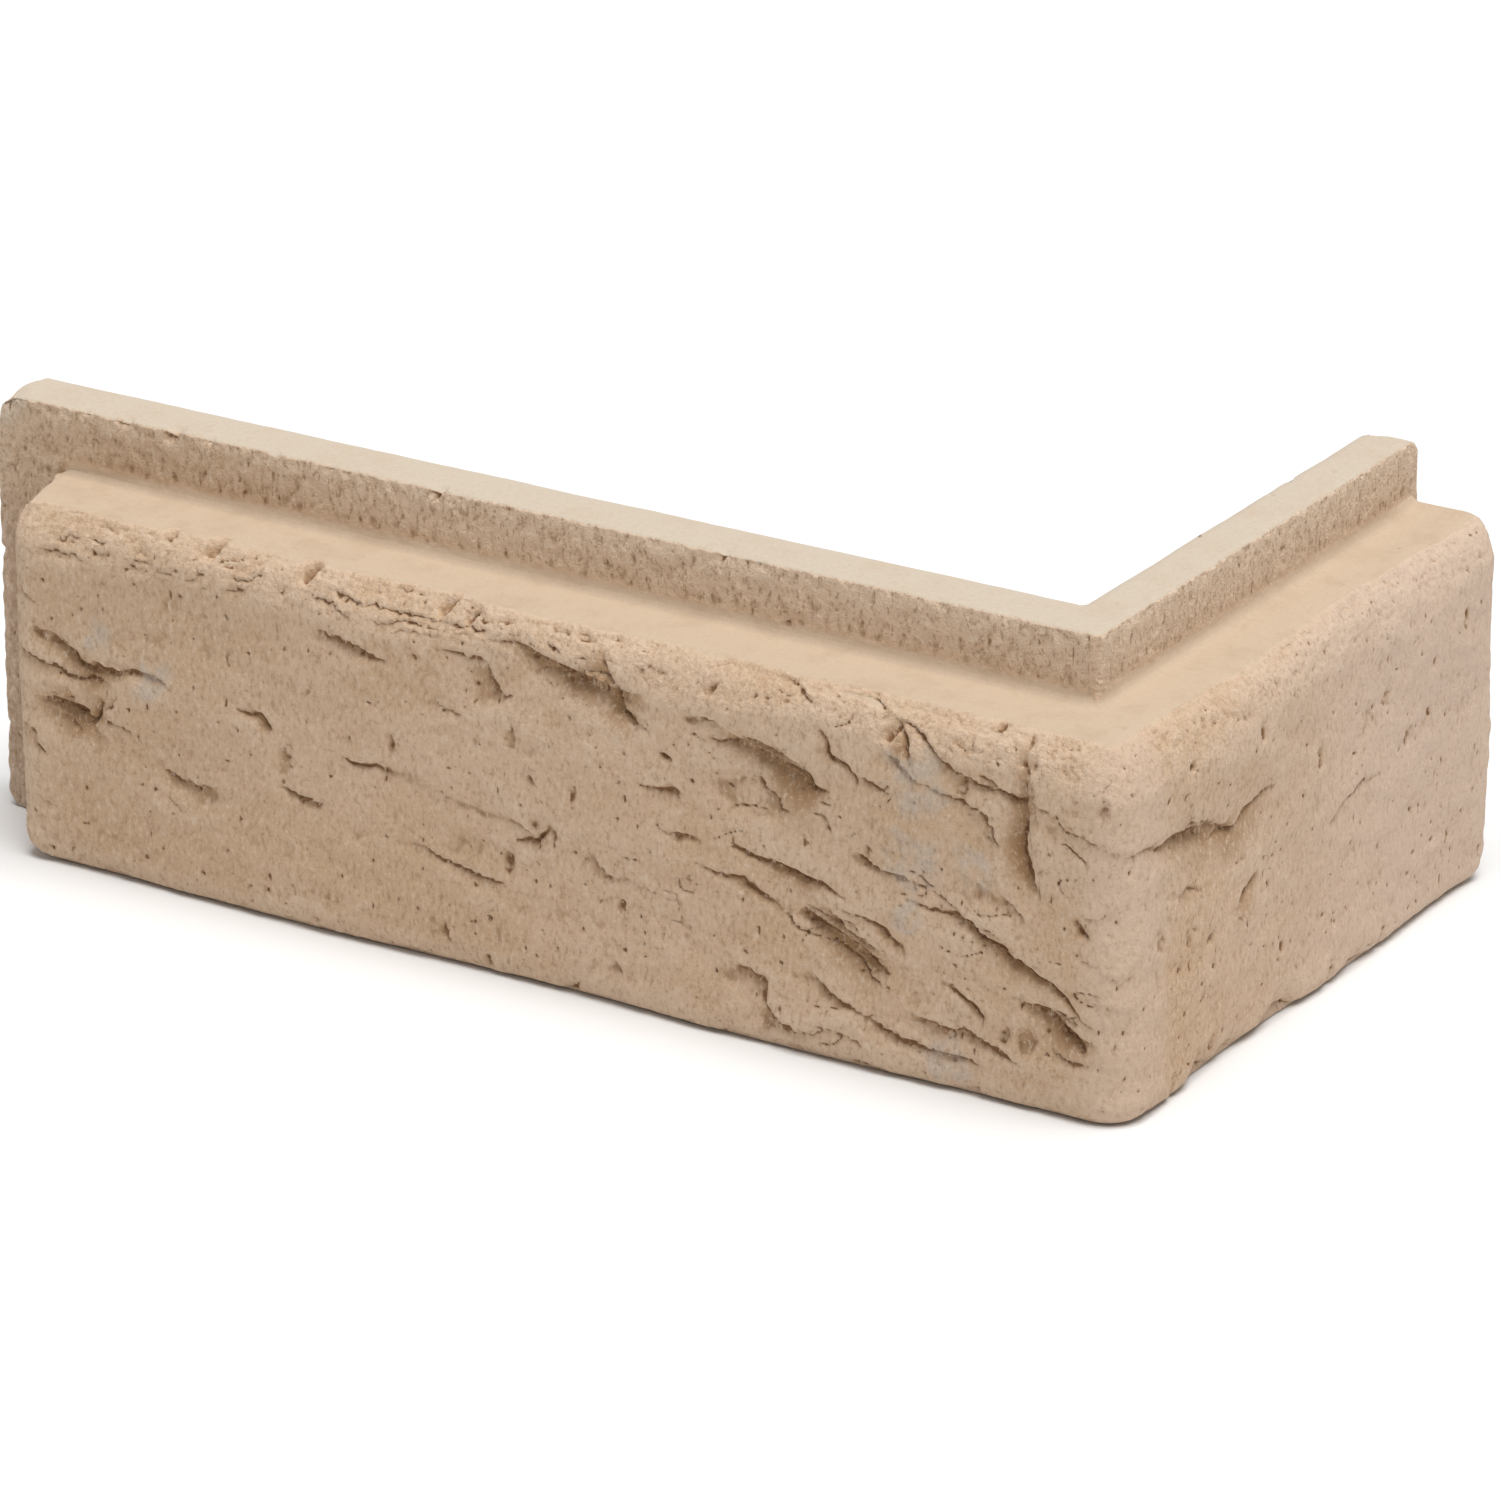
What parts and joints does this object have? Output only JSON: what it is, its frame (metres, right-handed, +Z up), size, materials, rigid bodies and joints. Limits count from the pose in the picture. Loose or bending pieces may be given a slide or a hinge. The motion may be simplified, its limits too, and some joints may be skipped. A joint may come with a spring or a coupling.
{
  "type": "stone cladding corner piece",
  "caption": "L-shaped cast corner piece of brick-look wall cladding: a rough brick face on a thin backing slab that shows as the joint above it and beside it.",
  "frame": {"origin": "the wall's own corner, at the level of the piece's bed", "axes": "+Z up the wall, +Y out of the back of the long leg into the wall, +X along the long leg from its free end to the corner; the short leg runs along +Y"},
  "size_m": [0.235, 0.1293, 0.077],
  "materials": {
    "cast_stone": "matte, rough, sandy beige throughout"
  },
  "bodies": {
    "root": {"corner_piece": "cast_stone"}
  },
  "joints": []
}
